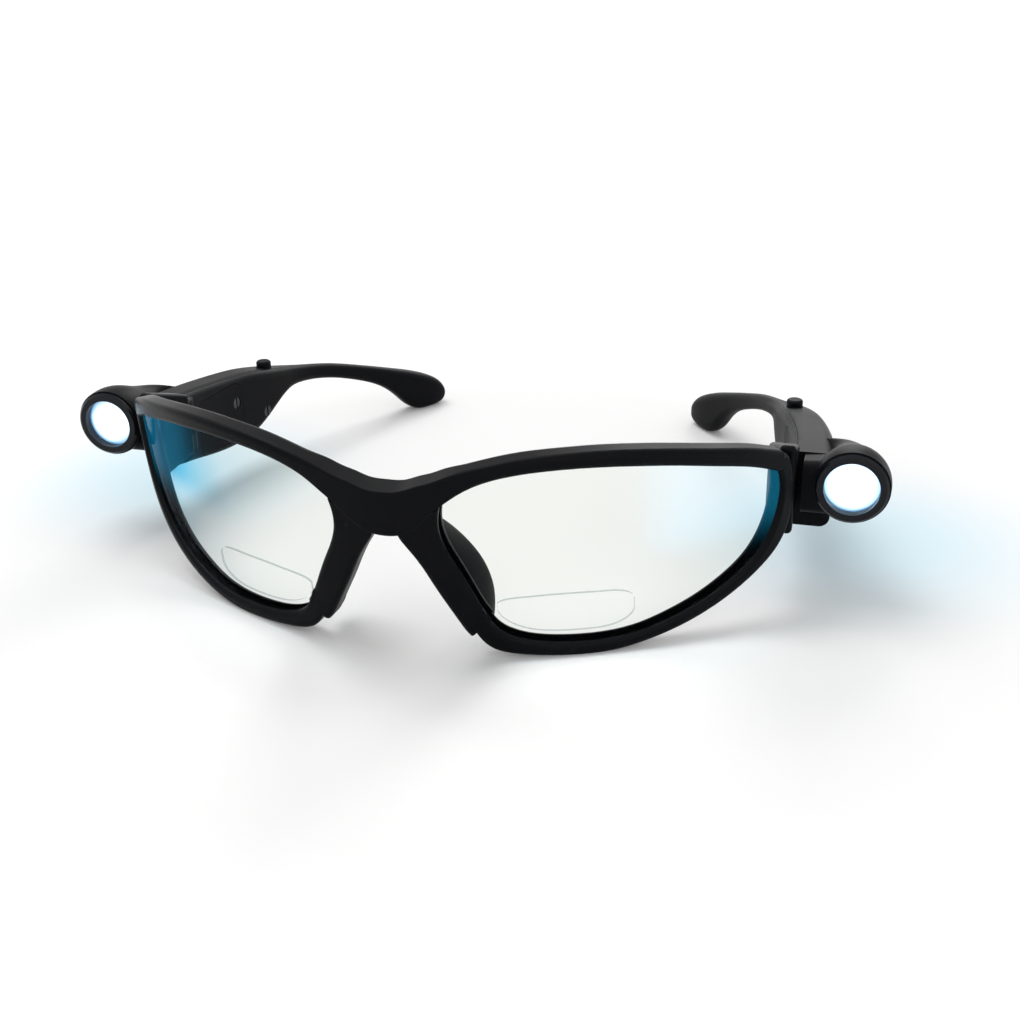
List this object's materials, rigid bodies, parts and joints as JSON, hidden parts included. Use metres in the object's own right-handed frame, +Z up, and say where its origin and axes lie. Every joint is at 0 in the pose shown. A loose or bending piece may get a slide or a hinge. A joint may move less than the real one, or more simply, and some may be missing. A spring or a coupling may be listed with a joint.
{
  "type": "lighted magnifier glasses",
  "caption": "Wraparound magnifier glasses with clear bifocal lenses and a lamp in a round housing at the front corner of each folding temple.",
  "frame": {"origin": "bottom centre of the bounding box, on the table the glasses rest on", "axes": "+X towards the wearer's left, across the glasses; +Y back along the temples; +Z up"},
  "size_m": [0.1738, 0.143, 0.0429],
  "materials": {
    "frame": "satin, lightly worn",
    "temple": "satin",
    "door": "fine matt",
    "lens": "clear polished polycarbonate",
    "nose_pad": "soft matt",
    "screw": "dark plated",
    "contact": "plated spring sheet",
    "cell": "bright drawn",
    "board": "lacquered",
    "switch": "moulded",
    "button": "satin",
    "led": "clear epoxy",
    "reflector": "metallised",
    "lamp_lens": "clear moulded",
    "bezel": "satin gloss",
    "wire": "soft insulation"
  },
  "bodies": {
    "front": {"front_frame": "frame", "left_lens": "lens", "left_nose_pad": "nose_pad", "left_hinge_screw": "screw", "right_lens": "lens", "right_nose_pad": "nose_pad", "right_hinge_screw": "screw"},
    "left_temple": {"left_temple_shell": "temple", "left_temple_cover": "temple", "left_cover_screws": "screw", "left_outer_cell": "cell", "left_inner_cell": "cell", "left_contact_plate": "contact", "left_circuit_board": "board", "left_switch_body": "switch", "left_led": "led", "left_reflector": "reflector", "left_lamp_lens": "lamp_lens", "left_lamp_bezel": "bezel", "left_led_wires": "wire"},
    "left_button": {"left_switch_button": "button"},
    "left_battery_door": {"left_battery_door": "door", "left_door_screw": "screw", "left_door_contact": "contact"},
    "right_temple": {"right_temple_shell": "temple", "right_temple_cover": "temple", "right_cover_screws": "screw", "right_outer_cell": "cell", "right_inner_cell": "cell", "right_contact_plate": "contact", "right_circuit_board": "board", "right_switch_body": "switch", "right_led": "led", "right_reflector": "reflector", "right_lamp_lens": "lamp_lens", "right_lamp_bezel": "bezel", "right_led_wires": "wire"},
    "right_button": {"right_switch_button": "button"},
    "right_battery_door": {"right_battery_door": "door", "right_door_screw": "screw", "right_door_contact": "contact"}
  },
  "joints": [
    {"name": "left_temple_fold", "type": "hinge", "parent": "front", "child": "left_temple", "pos_m": [0.0659, -0.01997, 0.0235], "axis": [0, 0, 1], "range_deg": [0, 88]},
    {"name": "left_button_press", "type": "slide", "parent": "left_temple", "child": "left_button", "axis": [0, 0, -1], "range_m": [0, 0.0008], "stiffness_N_per_m": 300},
    {"name": "left_battery_door_lift", "type": "slide", "parent": "left_temple", "child": "left_battery_door", "axis": [-0.9911, -0.133, 0], "range_m": [0, 0.008]},
    {"name": "right_temple_fold", "type": "hinge", "parent": "front", "child": "right_temple", "pos_m": [-0.0659, -0.01997, 0.0235], "axis": [0, 0, 1], "range_deg": [-88, 0]},
    {"name": "right_button_press", "type": "slide", "parent": "right_temple", "child": "right_button", "axis": [0, 0, -1], "range_m": [0, 0.0008], "stiffness_N_per_m": 300},
    {"name": "right_battery_door_lift", "type": "slide", "parent": "right_temple", "child": "right_battery_door", "axis": [0.9911, -0.133, 0], "range_m": [0, 0.008]}
  ]
}
